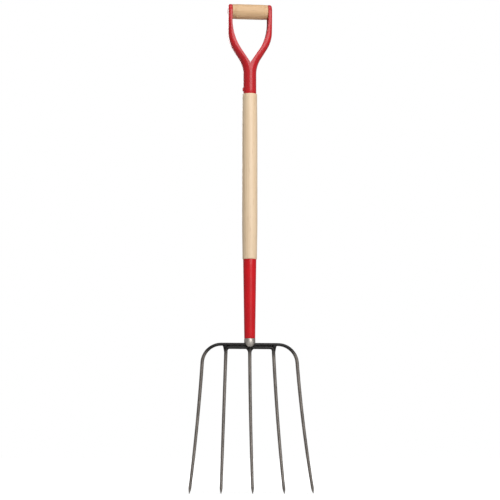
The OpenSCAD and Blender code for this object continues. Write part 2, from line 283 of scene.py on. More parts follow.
def leave():
    """Turn every normal outward and leave edit mode."""
    bpy.ops.mesh.select_all(action="SELECT")
    bpy.ops.mesh.normals_make_consistent(inside=False)
    bpy.ops.object.mode_set(mode="OBJECT")


def close(piece, merge=0.001 * MM):
    """Leave edit mode with doubles merged, open ends filled and normals outward."""
    bpy.ops.mesh.select_all(action="SELECT")
    bpy.ops.mesh.remove_doubles(threshold=merge)
    bpy.ops.mesh.select_all(action="DESELECT")
    bpy.ops.mesh.select_non_manifold(extend=False, use_wire=False, use_multi_face=False,
                                     use_non_contiguous=False, use_verts=False)
    bpy.ops.mesh.edge_face_add()
    leave()
    return piece


def applied(piece, kind, **settings):
    """Add a modifier with these settings and apply it."""
    modifier = piece.modifiers.new(kind.title(), kind)
    for name, value in settings.items():
        setattr(modifier, name, value)
    bpy.context.view_layer.objects.active = piece
    bpy.ops.object.modifier_apply(modifier=modifier.name)
    return piece


def cut(piece, cutter, operation="DIFFERENCE"):
    """Cut a piece with another shape, or join the shape on, and throw the shape away."""
    applied(piece, "BOOLEAN", object=cutter, operation=operation, solver="EXACT")
    bpy.data.objects.remove(cutter)
    return piece


def eased(piece, width, turn=40, segments=3):
    """Round every edge that turns more sharply than `turn` degrees."""
    return applied(piece, "BEVEL", width=width, segments=segments, limit_method="ANGLE",
                   angle_limit=math.radians(turn), use_clamp_overlap=True,
                   harden_normals=False)


def turned(name, profile, sides=SIDES):
    """Turn a piece on a lathe: a ring is drawn along Z through points (height, radius)."""
    height, radius = profile[0]
    piece = begin(name, bpy.ops.mesh.primitive_circle_add, vertices=sides, radius=radius,
                  location=(0, 0, height))
    for next_height, next_radius in profile[1:]:
        bpy.ops.mesh.extrude_region_move(
            TRANSFORM_OT_translate={"value": (0, 0, next_height - height)})
        scale = next_radius / radius
        bpy.ops.transform.resize(value=(scale, scale, 1), center_override=(0, 0, next_height))
        height, radius = next_height, next_radius
    return close(piece)


def along_x(piece, height):
    """Lay a turned piece along X, with its middle on the shaft's axis at this height."""
    piece.rotation_euler = (0, math.pi / 2, 0)
    piece.location = (0, 0, height)
    only(piece)
    settle()
    return piece


def bore_cutter(radius, low, high, sides=FINE):
    """A round cutter up the shaft's axis from one height to another."""
    return turned("cutter", [(low, radius), (high, radius)], sides=sides)


def rod_cutter(radius, length, height):
    """A round cutter along X through the shaft's axis."""
    return along_x(bore_cutter(radius, -length / 2, length / 2), height)


def angles(first, step, count):
    """Evenly stepped angles, given in degrees."""
    return [math.radians(first + step * k) for k in range(count)]


def rounded(end, radius, size, direction=1, steps=5):
    """Profile points over a corner of this size: direction is 1 at an upper end, -1 at a low."""
    return [(end - direction * size * (1 - math.sin(a)), radius - size * (1 - math.cos(a)))
            for a in angles(0, 90 / steps, steps + 1)]


def both_ways(half):
    """A whole profile from its half on the far side of the middle."""
    return [(-h, r) for h, r in reversed(half)] + half


def finished(piece, body, node, finish, smooth=35):
    """Smooth a piece, give it its finish and body, and let it stand for its node, if any."""
    only(piece)
    bpy.ops.object.shade_smooth_by_angle(angle=math.radians(smooth))
    piece.data.materials.clear()
    piece.data.materials.append(finish)
    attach(piece, body)
    low = [min(v.co[i] for v in piece.data.vertices) for i in range(3)]
    high = [max(v.co[i] for v in piece.data.vertices) for i in range(3)]
    off = "no node"
    if node:
        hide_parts(node)
        node_low, node_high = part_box(node)
        off = [round(max(abs(low[i] - node_low[i]), abs(high[i] - node_high[i])) / MM, 2)
               for i in range(3)]
    mesh = bmesh.new()
    mesh.from_mesh(piece.data)
    open_edges = sum(1 for edge in mesh.edges if len(edge.link_faces) != 2)
    volume = mesh.calc_volume(signed=True) / MM ** 3
    mesh.free()
    print(f"{piece.name}: {len(piece.data.polygons)} faces, {open_edges} open edges,"
          f" {volume:.0f} mm3, off the frame's box by {off} mm")
    return piece


def mix(start, end, share):
    return start + (end - start) * share


def ease(share):
    return share * share * (3 - 2 * share)


# %% [markdown]
# ## Ash for the shaft
#
# A fork's shaft is ash, turned, sanded and lacquered. Ash is ring-porous: each year's
# early wood is a row of open pores that shows as a darker line along the stem, and the
# late wood between is smooth and pale. A saw-tooth ring pattern round a pith that lies
# well outside the shaft gives long, slightly wandering lines, and a noise stretched
# along the stem gives the pores as short dashes. Rings are 3.4 mm apart here, and the
# pores are drawn about 0.5 mm wide so that they show.


# %% Finish: lacquered ash
def new_finish(name):
    """A new material, its node tree, its shader and the place of each point on the piece."""
    material = bpy.data.materials.new(name)
    material.use_nodes = True
    tree = material.node_tree
    place = add(tree, "ShaderNodeTexCoord").outputs["Object"]
    return material, tree, tree.nodes["Principled BSDF"], place


def join(tree, output, shader, socket):
    tree.links.new(output, shader.inputs[socket])


def blend(tree, share, first, second):
    """The colour that is a share of the way from the first colour to the second."""
    return add(tree, "ShaderNodeMix", {"Factor": share, 6: first, 7: second},
               data_type="RGBA").outputs[2]


def wood(name, late, early, pore, along, ring, roughness, blush):
    """Turned wood whose grain runs along axis 2 (the shaft) or axis 0 (the grip)."""
    material, tree, shader, place = new_finish(name)
    turn = (0, math.pi / 2, 0) if along == 0 else (math.radians(0.6), math.radians(0.9), 0)
    grain = add(tree, "ShaderNodeMapping",
                {"Vector": place, "Location": (38 * MM, 21 * MM, 0), "Rotation": turn})
    stretched = add(tree, "ShaderNodeMapping",
                    {"Vector": grain.outputs["Vector"], "Scale": (1, 1, 0.09)}).outputs["Vector"]
    rings = add(tree, "ShaderNodeTexWave",
                {"Vector": stretched, "Scale": 0.314 / ring, "Distortion": 3.2, "Detail": 2.5,
                 "Detail Scale": 0.5, "Detail Roughness": 0.55},
                wave_type="RINGS", rings_direction="Z", wave_profile="SAW")
    early_rows = add(tree, "ShaderNodeMapRange",
                     {"Value": rings.outputs["Fac"], "From Min": 0.55, "From Max": 1.0})
    dashes_at = add(tree, "ShaderNodeMapping",
                    {"Vector": grain.outputs["Vector"],
                     "Scale": (1 / (1.0 * MM), 1 / (1.0 * MM), 1 / (22 * MM))})
    dashes = add(tree, "ShaderNodeTexNoise",
                 {"Vector": dashes_at.outputs["Vector"], "Scale": 1.0, "Detail": 2.0})
    open_pores = add(tree, "ShaderNodeMapRange",
                     {"Value": dashes.outputs["Fac"], "From Min": 0.56, "From Max": 0.70})
    pores = add(tree, "ShaderNodeMath",
                {0: open_pores.outputs["Result"], 1: early_rows.outputs["Result"]},
                operation="MULTIPLY").outputs["Value"]
    years = add(tree, "ShaderNodeTexNoise",
                {"Vector": stretched, "Scale": 1 / (9 * MM), "Detail": 1.0})
    strong = add(tree, "ShaderNodeMapRange",
                 {"Value": years.outputs["Fac"], "From Min": 0.35, "From Max": 0.65,
                  "To Min": 0.15})
    early_share = add(tree, "ShaderNodeMath",
                      {0: early_rows.outputs["Result"], 1: strong.outputs["Result"]},
                      operation="MULTIPLY")
    clouds = add(tree, "ShaderNodeTexNoise",
                 {"Vector": stretched, "Scale": 1 / (26 * MM), "Detail": 3.0})
    growth = blend(tree, early_share.outputs["Value"], linear(late), linear(early))
    shade = add(tree, "ShaderNodeMapRange",
                {"Value": clouds.outputs["Fac"], "From Min": 0.3, "From Max": 0.75,
                 "To Max": 0.55})
    warm = blend(tree, shade.outputs["Result"], growth, linear(blush))
    join(tree, blend(tree, pores, warm, linear(pore)), shader, "Base Color")
    sheen = add(tree, "ShaderNodeMapRange",
                {"Value": dashes.outputs["Fac"], "To Min": roughness - 0.06,
                 "To Max": roughness + 0.10})
    join(tree, sheen.outputs["Result"], shader, "Roughness")
    relief = add(tree, "ShaderNodeBump",
                 {"Height": pores, "Strength": 0.5, "Distance": 0.08 * MM}, invert=True)
    join(tree, relief.outputs["Normal"], shader, "Normal")
    return material


lacquered_ash = wood("lacquered_ash", late="ECD4B3", early="DDBB92", pore="B48C62", along=2,
                     ring=3.4 * MM, roughness=0.42, blush="E4C5A0")
lacquered_ash.node_tree.nodes["Principled BSDF"].inputs["Coat Weight"].default_value = 0.25
lacquered_ash.node_tree.nodes["Principled BSDF"].inputs["Coat Roughness"].default_value = 0.3
print("finish:", lacquered_ash.name)

# %% [markdown]
# ## The shaft
#
# The shaft is one turned stick. Its middle is straight, it tapers a little to a rounded
# shoulder at each end, and below and above the shoulders it is turned down to go into
# the ferrule and the socket. On a lathe this is one profile, so here a ring is drawn
# out along that profile. The hole for the tang is bored up from the lower end.

# %% Shaft
shaft_r = shaft_high.x
seat_half = 100 * MM  # half of the straight middle
top_r, low_r = 16.6 * MM, 16.2 * MM  # radii at the two shoulders
shoulder = 1.2 * MM
fit = 0.05 * MM  # gap between pieces driven together
laid = 0.1 * MM  # gap between faces laid together
past = 1 * MM  # how far a cutter runs past a face
through = 60 * MM  # longer than any tube is thick
ferrule_wall, yoke_wall = 1.2 * MM, 1.5 * MM
ferrule_top_r = ferrule_high.x
ferrule_low_r = 12.2 * MM
ferrule_length = ferrule_high.z - ferrule_low.z
socket_r = 14.75 * MM
tang_r = 4 * MM
tang_top = centre_high.z


def ferrule_r(height):
    return mix(ferrule_low_r, ferrule_top_r, (height - ferrule_low.z) / ferrule_length)


def taper(shoulder_z, shoulder_r, steps=10):
    """Points from the straight middle out to a shoulder, with an arc to round it."""
    end = shoulder_z - math.copysign(laid, shoulder_z)
    start = math.copysign(seat_half, shoulder_z)
    body = [(mix(start, end, i / steps), mix(shaft_r, shoulder_r, ease(i / steps)))
            for i in range(steps)]
    return body + rounded(end, shoulder_r, shoulder, math.copysign(1, shoulder_z), steps=6)


plug_r = socket_r - yoke_wall - fit
profile = [(shaft_low.z, ferrule_r(shaft_low.z) - ferrule_wall - fit),
           (ferrule_high.z - laid, ferrule_top_r - ferrule_wall - fit)]
profile += reversed(taper(ferrule_high.z, low_r))
profile += taper(yoke_low.z, top_r)
profile += [(yoke_low.z - laid, plug_r), (shaft_high.z - shoulder, plug_r),
            (shaft_high.z, plug_r - shoulder)]
shaft = turned("shaft", profile)
cut(shaft, bore_cutter(tang_r + fit, shaft_low.z - past, tang_top + laid))
pin_low, pin_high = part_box("ferrule_pin")
rivet_low, rivet_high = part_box("socket_rivet")
pin_z = (pin_low.z + pin_high.z) / 2
rivet_z = (rivet_low.z + rivet_high.z) / 2
pin_r, rivet_r = 2 * MM, 2.5 * MM
cut(shaft, rod_cutter(pin_r + fit, through, pin_z))
cut(shaft, rod_cutter(rivet_r + fit, through, rivet_z))
finished(shaft, "fork", "handle_shaft", lacquered_ash)

# %% [markdown]
# ## Red enamel
#
# The ferrule and the handle are dipped or sprayed with a glossy red enamel. Enamel is a
# thick, hard paint: its colour is even, it keeps a fine orange-peel ripple about 2 mm
# across, it pulls thin over sharp edges, where the steel darkens it, and it picks up
# faint scuffs that dull the gloss. The ferrule's red is cleaner and the handle's is a
# little browner.


# %% Finish: red enamel
def enamel(name, red, thin, roughness):
    """Glossy red paint on steel."""
    material, tree, shader, place = new_finish(name)
    drift = add(tree, "ShaderNodeTexNoise",
                {"Vector": place, "Scale": 1 / (45 * MM), "Detail": 3.0})
    edge = add(tree, "ShaderNodeNewGeometry").outputs["Pointiness"]
    worn = add(tree, "ShaderNodeMapRange",
               {"Value": edge, "From Min": 0.53, "From Max": 0.62, "To Max": 0.8})
    depth = add(tree, "ShaderNodeMapRange",
                {"Value": drift.outputs["Fac"], "From Min": 0.3, "From Max": 0.7,
                 "To Max": 0.35})
    thickness = add(tree, "ShaderNodeMath",
                    {0: worn.outputs["Result"], 1: depth.outputs["Result"]}, operation="MAXIMUM")
    colour = blend(tree, thickness.outputs["Value"], linear(red), linear(thin))
    join(tree, colour, shader, "Base Color")
    scuffs_at = add(tree, "ShaderNodeMapping",
                    {"Vector": place, "Rotation": (0.3, 0.5, 0.2),
                     "Scale": (1 / (1.5 * MM), 1 / (12 * MM), 1 / (6 * MM))})
    scuffs = add(tree, "ShaderNodeTexNoise",
                 {"Vector": scuffs_at.outputs["Vector"], "Scale": 1.0, "Detail": 4.0,
                  "Roughness": 0.65})
    gloss = add(tree, "ShaderNodeMapRange",
                {"Value": scuffs.outputs["Fac"], "From Min": 0.5, "From Max": 0.8,
                 "To Min": roughness, "To Max": roughness + 0.10})
    join(tree, gloss.outputs["Result"], shader, "Roughness")
    peel = add(tree, "ShaderNodeTexNoise",
               {"Vector": place, "Scale": 1 / (2.2 * MM), "Detail": 1.0})
    relief = add(tree, "ShaderNodeBump",
                 {"Height": peel.outputs["Fac"], "Strength": 0.3, "Distance": 0.04 * MM})
    join(tree, relief.outputs["Normal"], shader, "Normal")
    shader.inputs["IOR"].default_value = 1.52
    shader.inputs["Specular IOR Level"].default_value = 0.32
    return material


handle_enamel = enamel("handle_red_enamel", red="C62027", thin="931A20", roughness=0.27)
ferrule_enamel = enamel("ferrule_red_enamel", red="D2121D", thin="A9141C", roughness=0.29)
print("finishes:", handle_enamel.name, ferrule_enamel.name)

# %% [markdown]
# ## The ferrule
#
# The ferrule is a thin steel tube, drawn down so that it tapers towards the head. It is
# turned here as a closed profile, up the outside and down the bore, with both rims
# rounded. A pin goes through it, the wood and the tang, and is filed flush.

# %% Ferrule
rim = 0.5 * MM
outside = list(reversed(rounded(ferrule_low.z, ferrule_low_r, rim, -1)))
outside += [(z, ferrule_r(z)) for z in (mix(ferrule_low.z, ferrule_high.z, k / 12)
                                        for k in range(1, 12))]
outside += rounded(ferrule_high.z, ferrule_top_r, rim)
inside = [(ferrule_high.z, ferrule_top_r - ferrule_wall),
          (ferrule_low.z, ferrule_low_r - ferrule_wall), outside[0]]
ferrule = turned("ferrule_tube", outside + inside)
cut(ferrule, rod_cutter(pin_r + fit, through, pin_z))
finished(ferrule, "fork", "ferrule", ferrule_enamel)

# %% [markdown]
# ## The ferrule's pin
#
# The pin is a length of wire driven through and dressed flush with the tube. Its ends
# are very slightly domed, as a hammer leaves them, so a ring is drawn along half of its
# profile and the other half is the same points in reverse.

# %% Ferrule pin
pin_half = pin_high.x
pin_dome = 0.5 * MM
half = [(pin_half - pin_dome * (1 - math.cos(a)), pin_r * math.sin(a))
        for a in angles(90, -15, 6)]
pin = turned("ferrule_pin_rod", both_ways(half), sides=FINE)
along_x(pin, pin_z)
finished(pin, "fork", "ferrule_pin", ferrule_enamel)

# %% [markdown]
# ## Bare steel for the cap
#
# The cap under the ferrule is a steel forging that was turned and then zinc plated. A
# thin zinc plate is a soft grey metal with a slightly milky gloss, faint turning lines
# round it about half a millimetre apart, and darker spots where it has dulled.


# %% Finish: plated and bare steel
def plated_steel(name, bright, dull, roughness, line):
    """Turned steel with a thin plate: lines run round the Z axis, `line` apart."""
    material, tree, shader, place = new_finish(name)
    spots = add(tree, "ShaderNodeTexNoise",
                {"Vector": place, "Scale": 1 / (5 * MM), "Detail": 4.0, "Roughness": 0.6})
    dulled = add(tree, "ShaderNodeMapRange",
                 {"Value": spots.outputs["Fac"], "From Min": 0.42, "From Max": 0.72})
    colour = blend(tree, dulled.outputs["Result"], linear(bright), linear(dull))
    join(tree, colour, shader, "Base Color")
    worn = add(tree, "ShaderNodeMapRange",
               {"Value": spots.outputs["Fac"], "From Min": 0.3, "From Max": 0.7,
                "To Min": roughness, "To Max": roughness + 0.14})
    join(tree, worn.outputs["Result"], shader, "Roughness")
    lines_at = add(tree, "ShaderNodeMapping",
                   {"Vector": place, "Scale": (1 / (9 * MM), 1 / (9 * MM), 1 / line)})
    lines = add(tree, "ShaderNodeTexNoise",
                {"Vector": lines_at.outputs["Vector"], "Scale": 1.0, "Detail": 1.0})
    relief = add(tree, "ShaderNodeBump",
                 {"Height": lines.outputs["Fac"], "Strength": 0.4, "Distance": 0.03 * MM})
    join(tree, relief.outputs["Normal"], shader, "Normal")
    shader.inputs["Metallic"].default_value = 1.0
    return material


cap_plate = plated_steel("zinc_plated_steel", "D2CBC3", "A39C94", 0.36, 0.5 * MM)
rod_plate = plated_steel("bare_rod_steel", "8F8A84", "57524D", 0.30, 0.9 * MM)
print("finishes:", cap_plate.name, rod_plate.name)

# %% [markdown]
# ## The cap
#
# The cap closes the ferrule and sits astride the crossbar. It is turned with a ball
# end and a spigot, then bored for the tang, bored wider for the eyes of the two bows,
# and slotted from side to side so that the bar can pass.

# %% Cap
cap_r = cap_high.x
cap_top = ferrule_low.z - laid
ball_z = cap_top - 7.7 * MM  # centre of the ball end
cap_rim = 0.6 * MM
bar_top = outer_high.z
bar_depth = 10 * MM
eye_r = 6.5 * MM
ball = [(ball_z - cap_r * math.cos(a), cap_r * math.sin(a))
        for a in angles(4, 6.6, 14)]
spigot_r = ferrule_r(cap_high.z) - ferrule_wall - fit
spigot_end = 1 * MM  # bevel on the spigot's end
spigot = [(cap_top, ferrule_low_r - ferrule_wall - fit), (cap_high.z - spigot_end, spigot_r),
          (cap_high.z, spigot_r - spigot_end)]
cap = turned("ball_cap", ball + rounded(cap_top, cap_r, cap_rim) + spigot)
below = ball_z - cap_r - 2 * past
cut(cap, bore_cutter(tang_r + fit, below, cap_high.z + past))
cut(cap, bore_cutter(eye_r + laid, below, bar_top + laid, sides=48))
slot_cutter = begin("cutter", bpy.ops.mesh.primitive_cube_add, size=1,
                    location=(0, 0, (below + bar_top + laid) / 2),
                    stretch=(through, bar_depth + 2 * laid, bar_top + laid - below))
bpy.ops.object.mode_set(mode="OBJECT")
cut(cap, slot_cutter)
eased(cap, 0.35 * MM, turn=50, segments=2)
finished(cap, "fork", "ferrule_cap", cap_plate)

# %% [markdown]
# ## The grip
#
# The grip is a short turned stick on its own rod, with a fine groove beside a collar at
# each end and a smaller tenon inside each arm. Handled wood is oiled rather than
# lacquered, so it is more tan, closer in tone and a little duller than the shaft. Its
# grain runs along the grip.

# %% Grip
oiled_ash = wood("oiled_ash", late="D9B58A", early="C99E70", pore="966C45", along=0,
                 ring=2.8 * MM, roughness=0.46, blush="D3A878")
print("finish:", oiled_ash.name)
grip_r = grip_high.z - grip_z
flange_x = yoke_high.x - 8.8 * MM  # edge of an arm's flange beside the grip
body_x = flange_x - 0.5 * MM  # the grip's end clears the flange
groove_x = body_x - 9 * MM
groove = 0.6 * MM  # half of the groove's width
collar_r = grip_r - groove / 2
tenon_x, tenon_r = grip_high.x, yoke_high.y - yoke_wall - 1 * MM
tenon_cut = 3 * MM
rod_r = 3.2 * MM
turn_gap = 0.06 * MM  # lets the grip turn on its rod
hollow = [(groove_x + groove * math.cos(a), grip_r - groove * 0.85 * math.sin(a))
          for a in angles(150, -30, 5)]
half = [(groove_x - groove, grip_r)] + hollow + [(groove_x + groove, collar_r)]
half += rounded(body_x, collar_r, shoulder)
half += [(body_x, tenon_r), (tenon_x - tenon_cut, tenon_r), (tenon_x, tenon_r - tenon_cut)]
half = [(groove_x * k / 6, grip_r) for k in range(1, 6)] + half
bore_r = rod_r + turn_gap
profile = [(-h, r) for h, r in reversed(half)] + [(0, grip_r)] + half
profile += [(tenon_x, bore_r), (-tenon_x, bore_r), profile[0]]
grip = along_x(turned("wooden_grip", profile), grip_z)
finished(grip, "grip", "grip", oiled_ash)

# %% [markdown]
# ## The grip's rod
#
# The grip turns on a plain steel rod whose ends are hammered over into shallow dimples
# in the arms. A hammered head is a low dome, so an arc ends the rod's profile.

# %% Rod
rod_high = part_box("grip_rod")[1]
head_r = 5.45 * MM
head_h = 1.1 * MM
head_z = rod_high.x - head_h
set_head = [(head_z + head_h * math.sin(a), head_r * math.cos(a))
            for a in angles(0, 15, 6)]
half = [(head_z, rod_r)] + set_head
rod = turned("grip_axle", both_ways(half), sides=FINE)
along_x(rod, grip_z)
finished(rod, "fork", "grip_rod", rod_plate)

# %% [markdown]
# ## The socket's rivet
#
# A rivet holds the socket to the shaft. Its head is a low dome whose underside is
# hollowed to sit on the tube, and its other end is dressed flush. The head is turned,
# laid on its side, cut with the tube's own round, and joined to the shank.

# %% Socket rivet
rivet_head_r, rivet_head_h = 4.5 * MM, 2 * MM
head_skirt = 1.5 * MM  # left inside the tube until the cut
rivet_end = 0.4 * MM  # bevel on the shank's end
head_top = socket_r + rivet_head_h
dome = [(head_top - rivet_head_h * (1 - math.sin(a)), rivet_head_r * math.cos(a))
        for a in angles(0, 10, 9)]
head = turned("rivet_head", [(socket_r - head_skirt, rivet_head_r)] + dome, sides=40)
head.rotation_euler = (0, -math.pi / 2, 0)
head.location = (0, 0, rivet_z)
settle()
cut(head, bore_cutter(socket_r + fit, rivet_z - 2 * rivet_head_r, rivet_z + 2 * rivet_head_r,
                      sides=SIDES))
rivet = turned("rivet", [(-socket_r - 0.5 * MM, rivet_r), (rivet_high.x - rivet_end, rivet_r),
                         (rivet_high.x, rivet_r - rivet_end)], sides=FINE)
along_x(rivet, rivet_z)
cut(rivet, head, operation="UNION")
finished(rivet, "fork", "socket_rivet", handle_enamel)

# %% [markdown]
# ## The handle yoke
#
# The D-handle is one piece of tube, split down from the top and spread. Below the
# crotch it is a round tube, and above it each half is a channel, open towards the
# other, whose corners get squarer as it climbs. So one arm is a row of sections, each a
# box with its two outer corners rounded and its inner side taken away, and a bridge
# skins them.

# %% Yoke sections
lean_z = yoke_low.z + 45.5 * MM  # where the arms start to lean out
crotch_z = lean_z + 23.5 * MM
arm_half = yoke_high.y  # half of an arm's width, from the side
arm_x = yoke_high.x
corner_r = 4.5 * MM  # outer corner of an arm beside the grip
ARM_BENDS = 32, 67 * MM, 71 * MM  # lean in degrees, lower and upper bend
EDGE_BENDS = 34, 6 * MM, 120 * MM  # the same for the channel's open edge
CORNER_STEPS = 12
SPIN_UP = -1  # the sense of a spin that goes over the top


def s_bend(height, reach, lean, low_bend, high_bend):
    """Sideways reach of a curve at a height: an arc, a straight at `lean`, and an arc."""
    lean = math.radians(lean)
    low_h, low_x = low_bend * math.sin(lean), low_bend * (1 - math.cos(lean))
    high_h, high_x = high_bend * math.sin(lean), high_bend * (1 - math.cos(lean))
    full = low_h + high_h + (reach - low_x - high_x) / math.tan(lean)
    if height <= 0:
        return 0
    if height < low_h:
        return low_bend - math.sqrt(low_bend ** 2 - height ** 2)
    if height < full - high_h:
        return low_x + (height - low_h) * math.tan(lean)
    if height < full:
        return reach - high_bend + math.sqrt(high_bend ** 2 - (full - height) ** 2)
    return reach


def arm_outside(z):
    return socket_r + s_bend(z - lean_z, arm_x - socket_r, *ARM_BENDS)


def arm_edge(z):
    return s_bend(z - crotch_z, flange_x, *EDGE_BENDS)


def arm_section(z):
    """One section of an arm: a box with its outer corners rounded and its inner side open."""
    share = ease(min(1, max(0, (z - lean_z) / (grip_z - lean_z))))
    edge, outside = arm_edge(z), arm_outside(z)
    depth, width = outside - edge, mix(socket_r, arm_half, share) * 2
    radius = min(mix(socket_r, corner_r, share), 0.995 * depth, 0.4975 * width)
    middle = edge + depth / 2
    section = begin("section", bpy.ops.mesh.primitive_plane_add, size=1,
                    location=(middle, 0, z), stretch=(depth, width, 1))
    pick(section, lambda place: place.x > middle)
    bpy.ops.mesh.subdivide(number_cuts=1)
    pick(section, lambda place: place.x > middle and abs(place.y) > 0.49 * width)
    bpy.ops.mesh.bevel(offset=radius, segments=CORNER_STEPS, affect="VERTICES",
                       clamp_overlap=False)
    bpy.ops.mesh.select_all(action="SELECT")
    bpy.ops.mesh.delete(type="ONLY_FACE")
    pick(section, lambda place: place.x < edge + ON_PLANE)
    bpy.ops.mesh.delete(type="EDGE")
    bpy.ops.object.mode_set(mode="OBJECT")
    return section


def skinned(name, sections):
    """Join a row of sections into one piece and bridge each to the next."""
    bpy.ops.object.select_all(action="DESELECT")
    for section in sections:
        section.select_set(True)
    piece = bpy.context.view_layer.objects.active = sections[0]
    bpy.ops.object.join()
    piece.name = piece.data.name = name
    bpy.ops.object.mode_set(mode="EDIT")
    bpy.ops.mesh.select_all(action="SELECT")
    bpy.ops.mesh.bridge_edge_loops()
    return piece


# %% [markdown]
# ## Skinning and finishing the yoke
#
# The skin is spun over the top about the grip's rod, mirrored, and given the steel's
# thickness. The edges that a grinder would dress are then rounded: they are found by how
# sharply they turn, and the tight bottom of the split is left as the saw leaves it. The
# dimples for the rod's heads are pressed in, which raises a boss inside each arm, and
# the holes for the rod and the rivet are drilled last.

# %% Yoke
split_start = crotch_z + 2.4 * MM  # where the two edges are clear of each other
dressed_z = split_start + 4 * MM  # edges above here are dressed
dressing, sharp_turn = 0.4 * MM, math.radians(60)
seam = 0.02 * MM  # points closer than this are one
levels = [mix(yoke_low.z, lean_z, k / 4) for k in range(4)]
levels += [mix(lean_z, crotch_z, k / 8) for k in range(9)]
levels += [mix(split_start, grip_z, k / 34) for k in range(35)]
yoke = skinned("steel_yoke", [arm_section(level) for level in levels])
count = pick(yoke, lambda place: abs(place.z - grip_z) < ON_PLANE and place.y > -ON_PLANE)
print("points spun over the top:", count)
bpy.ops.mesh.spin(steps=24, angle=SPIN_UP * math.pi, center=(0, 0, grip_z), axis=(1, 0, 0))
bpy.ops.mesh.select_all(action="SELECT")
bpy.ops.mesh.remove_doubles(threshold=seam)
leave()
applied(yoke, "MIRROR", use_mirror_merge=True, merge_threshold=seam)
applied(yoke, "SOLIDIFY", thickness=yoke_wall, offset=-1, use_even_offset=True)
bpy.ops.object.mode_set(mode="EDIT")
bpy.ops.mesh.select_mode(type="EDGE")
bpy.ops.mesh.select_all(action="DESELECT")
mesh = bmesh.from_edit_mesh(yoke.data)
for edge in mesh.edges:
    low_end = min(vert.co.z for vert in edge.verts)
    sharp = edge.calc_face_angle(0) > sharp_turn
    edge.select = sharp and (low_end > dressed_z or low_end < yoke_low.z + 1 * MM)
bmesh.update_edit_mesh(yoke.data)
bpy.ops.mesh.bevel(offset=dressing, segments=2, clamp_overlap=True)
bpy.ops.object.mode_set(mode="OBJECT")

# %% [markdown]
# ## Dimples and holes
#
# A dimple is a shallow cone with a softened rim. The same cone, one wall further in, is
# the boss on the inside. Each is turned and laid along X, on the right and then on the
# left, and joined to or cut from the yoke.

# %% Dimples and holes
dimple = 1.2 * MM
web_in = arm_x - yoke_wall  # inner face of an arm's web
head_seat = 5.55 * MM  # radius of the flat bottom
boss = [(web_in - dimple, head_seat - 0.4 * MM), (web_in - dimple + 0.3 * MM, head_seat),
        (web_in + yoke_wall / 2, head_seat + dimple)]
hollow = [(arm_x - dimple, head_seat), (arm_x - 0.3 * MM, head_seat + 0.9 * MM),
          (arm_x + 0.1 * MM, head_seat + 1.5 * MM), (arm_x + 1 * MM, head_seat + 1.6 * MM)]
for side in (-1, 1):
    raised = turned("boss", [(side * h, r) for h, r in boss], sides=48)
    cut(yoke, along_x(raised, grip_z), operation="UNION")
    pressed = turned("cutter", [(side * h, r) for h, r in hollow], sides=48)
    cut(yoke, along_x(pressed, grip_z))
cut(yoke, rod_cutter(rod_r + fit, 3 * arm_x, grip_z))
cut(yoke, rod_cutter(rivet_r + fit, 3 * socket_r, rivet_z))
bpy.ops.object.mode_set(mode="EDIT")
bpy.ops.mesh.select_mode(type="VERT")
close(yoke, merge=0.01 * MM)
finished(yoke, "fork", "grip_yoke", handle_enamel)

# %% [markdown]
# ## Forged steel for the head
#
# The tines are drawn from carbon steel bar, hardened in oil and dipped in a clear brown
# lacquer. The lacquer lies over thin forge scale, so the colour is a warm near-black
# with lighter, grey-brown patches where the scale has flaked, and it is darkest at the
# crossbar, which was heated most. The hammer leaves shallow flats 7 mm apart, and the
# scale a fine tooth about 0.8 mm across.


# %% Finish: lacquered forged steel
def forged_steel(name, scale_black, lacquer_brown, bar_level):
    """Brown lacquer over forge scale, darkest at the height of the crossbar."""
    material, tree, shader, place = new_finish(name)
    height = add(tree, "ShaderNodeSeparateXYZ", {0: place}).outputs["Z"]
    cooler = add(tree, "ShaderNodeMapRange",
                 {"Value": height, "From Min": bar_level - 7 * MM,
                  "From Max": bar_level - 24 * MM})
    drawn = add(tree, "ShaderNodeMapping", {"Vector": place, "Scale": (1, 1, 0.3)})
    patches = add(tree, "ShaderNodeTexNoise",
                  {"Vector": drawn.outputs["Vector"], "Scale": 1 / (9 * MM), "Detail": 5.0,
                   "Roughness": 0.62})
    flaked = add(tree, "ShaderNodeMapRange",
                 {"Value": patches.outputs["Fac"], "From Min": 0.35, "From Max": 0.68,
                  "To Min": 0.5})
    brown = add(tree, "ShaderNodeMath",
                {0: flaked.outputs["Result"], 1: cooler.outputs["Result"]},
                operation="MULTIPLY")
    colour = blend(tree, brown.outputs["Value"], linear(scale_black), linear(lacquer_brown))
    join(tree, colour, shader, "Base Color")
    gloss = add(tree, "ShaderNodeMapRange",
                {"Value": patches.outputs["Fac"], "From Min": 0.3, "From Max": 0.7,
                 "To Min": 0.30, "To Max": 0.48})
    join(tree, gloss.outputs["Result"], shader, "Roughness")
    tooth = add(tree, "ShaderNodeTexNoise",
                {"Vector": place, "Scale": 1 / (0.8 * MM), "Detail": 3.0})
    flats = add(tree, "ShaderNodeTexVoronoi",
                {"Vector": drawn.outputs["Vector"], "Scale": 1 / (7 * MM)},
                feature="SMOOTH_F1")
    grit = add(tree, "ShaderNodeBump",
               {"Height": tooth.outputs["Fac"], "Strength": 0.5, "Distance": 0.08 * MM})
    hammered = add(tree, "ShaderNodeBump",
                   {"Height": flats.outputs["Distance"], "Strength": 0.35,
                    "Distance": 0.5 * MM, "Normal": grit.outputs["Normal"]})
    join(tree, hammered.outputs["Normal"], shader, "Normal")
    shader.inputs["Metallic"].default_value = 0.35
    return material


tine_finish = forged_steel("lacquered_forged_steel", "110F0E", "847C75", inner_high.z)
print("finish:", tine_finish.name)

# %% [markdown]
# ## The tines
#
# The head is two bows and a centre tine. Each bow is one bar, bent down at both ends
# into a tine and swollen in the middle into an eye for the tang. The two bows lie one
# on the other, so between the inner tines the crossbar looks twice as thick. A tine
# leans out and is dished forward, both a little more towards its tip. Oval rings are
# stood along each bar's line, bridged, and mirrored.

